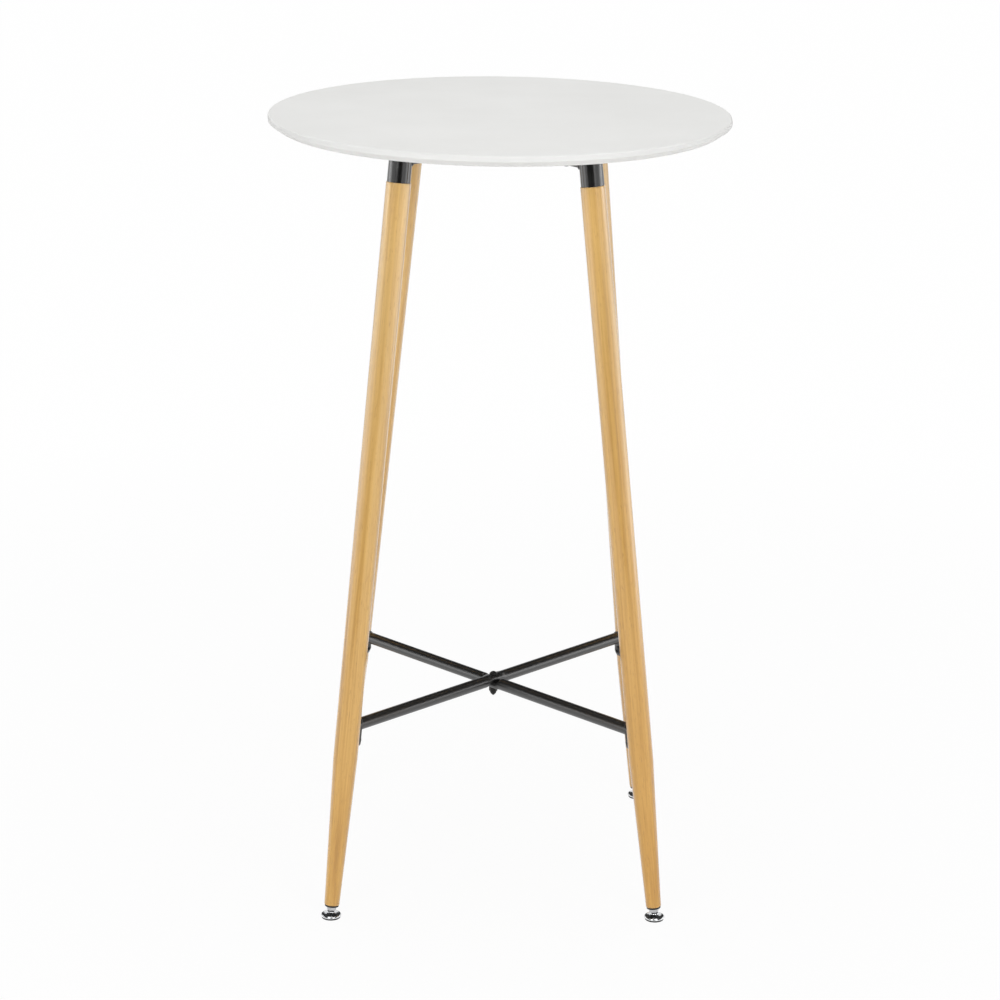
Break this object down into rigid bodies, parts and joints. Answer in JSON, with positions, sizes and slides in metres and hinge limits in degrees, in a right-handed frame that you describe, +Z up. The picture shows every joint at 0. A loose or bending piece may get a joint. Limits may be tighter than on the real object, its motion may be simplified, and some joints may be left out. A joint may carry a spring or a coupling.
{
  "type": "bar table",
  "caption": "Round-topped standing-height bar table on splayed wood-look legs with a black cross frame, a low X brace and screw-adjustable levelling feet.",
  "frame": {"origin": "on the floor under the middle of the round top", "axes": "+Z up; -Y is the front, the side that the picture shows; +X is to the viewer's right. The legs stand on the diagonals."},
  "size_m": [0.5999, 0.6, 1.035],
  "materials": {
    "white_top": "matt white coated board",
    "wood_look": "steel tube with a satin beech-look coating",
    "black_steel": "satin black powder coat",
    "black_screw": "black coated screw",
    "black_plastic": "matt black",
    "black_rubber": "matt black",
    "chrome": "bright chrome",
    "plated_steel": "zinc-plated steel",
    "zinc_steel": "zinc-plated steel"
  },
  "bodies": {
    "table": {"table_top": "white_top", "top_inserts": "zinc_steel", "leg_studs": "zinc_steel", "tip_nuts": "zinc_steel", "brace_rivet_nuts": "zinc_steel", "frame_screws": "black_screw", "brace_bolt": "black_screw", "brace_cap_nut": "black_screw", "brace_screws": "black_screw", "frame_rail_long": "black_steel", "frame_rail_left": "black_steel", "frame_rail_right": "black_steel", "leg_socket_front_left": "black_steel", "leg_socket_front_right": "black_steel", "leg_socket_rear_right": "black_steel", "leg_socket_rear_left": "black_steel", "brace_tube_upper": "black_steel", "brace_tube_lower": "black_steel", "brace_tab_front_left": "black_steel", "brace_tab_front_right": "black_steel", "brace_tab_rear_right": "black_steel", "brace_tab_rear_left": "black_steel", "leg_front_left": "wood_look", "leg_front_right": "wood_look", "leg_rear_right": "wood_look", "leg_rear_left": "wood_look", "leg_head_bush_front_left": "black_plastic", "leg_head_bush_front_right": "black_plastic", "leg_head_bush_rear_right": "black_plastic", "leg_head_bush_rear_left": "black_plastic", "leg_tip_plug_front_left": "black_plastic", "leg_tip_plug_front_right": "black_plastic", "leg_tip_plug_rear_right": "black_plastic", "leg_tip_plug_rear_left": "black_plastic"},
    "foot_base_front_left": {"foot_bell_front_left": "chrome", "foot_pad_front_left": "black_rubber"},
    "foot_stud_front_left": {"foot_stud_front_left": "plated_steel"},
    "foot_base_front_right": {"foot_bell_front_right": "chrome", "foot_pad_front_right": "black_rubber"},
    "foot_stud_front_right": {"foot_stud_front_right": "plated_steel"},
    "foot_base_rear_right": {"foot_bell_rear_right": "chrome", "foot_pad_rear_right": "black_rubber"},
    "foot_stud_rear_right": {"foot_stud_rear_right": "plated_steel"},
    "foot_base_rear_left": {"foot_bell_rear_left": "chrome", "foot_pad_rear_left": "black_rubber"},
    "foot_stud_rear_left": {"foot_stud_rear_left": "plated_steel"}
  },
  "joints": [
    {"name": "foot_travel_front_left", "type": "slide", "parent": "table", "child": "foot_base_front_left", "axis": [-0.0866, -0.1017, -0.991], "range_m": [0, 0.012]},
    {"name": "foot_turn_front_left", "type": "hinge", "parent": "foot_base_front_left", "child": "foot_stud_front_left", "pos_m": [-0.2118, -0.21562, 0.0057], "axis": [-0.0866, -0.1017, -0.991], "range_deg": [0, 3456]},
    {"name": "foot_travel_front_right", "type": "slide", "parent": "table", "child": "foot_base_front_right", "axis": [0.1017, -0.0866, -0.991], "range_m": [0, 0.012]},
    {"name": "foot_turn_front_right", "type": "hinge", "parent": "foot_base_front_right", "child": "foot_stud_front_right", "pos_m": [0.21562, -0.2118, 0.0057], "axis": [0.1017, -0.0866, -0.991], "range_deg": [0, 3456]},
    {"name": "foot_travel_rear_right", "type": "slide", "parent": "table", "child": "foot_base_rear_right", "axis": [0.0866, 0.1017, -0.991], "range_m": [0, 0.012]},
    {"name": "foot_turn_rear_right", "type": "hinge", "parent": "foot_base_rear_right", "child": "foot_stud_rear_right", "pos_m": [0.2118, 0.21562, 0.0057], "axis": [0.0866, 0.1017, -0.991], "range_deg": [0, 3456]},
    {"name": "foot_travel_rear_left", "type": "slide", "parent": "table", "child": "foot_base_rear_left", "axis": [-0.1017, 0.0866, -0.991], "range_m": [0, 0.012]},
    {"name": "foot_turn_rear_left", "type": "hinge", "parent": "foot_base_rear_left", "child": "foot_stud_rear_left", "pos_m": [-0.21562, 0.2118, 0.0057], "axis": [-0.1017, 0.0866, -0.991], "range_deg": [0, 3456]}
  ],
  "couplings": [
    {"joint": "foot_turn_front_left", "follows": "foot_travel_front_left", "rad_per_m": 5026.5},
    {"joint": "foot_turn_front_right", "follows": "foot_travel_front_right", "rad_per_m": 5026.5},
    {"joint": "foot_turn_rear_right", "follows": "foot_travel_rear_right", "rad_per_m": 5026.5},
    {"joint": "foot_turn_rear_left", "follows": "foot_travel_rear_left", "rad_per_m": 5026.5}
  ]
}
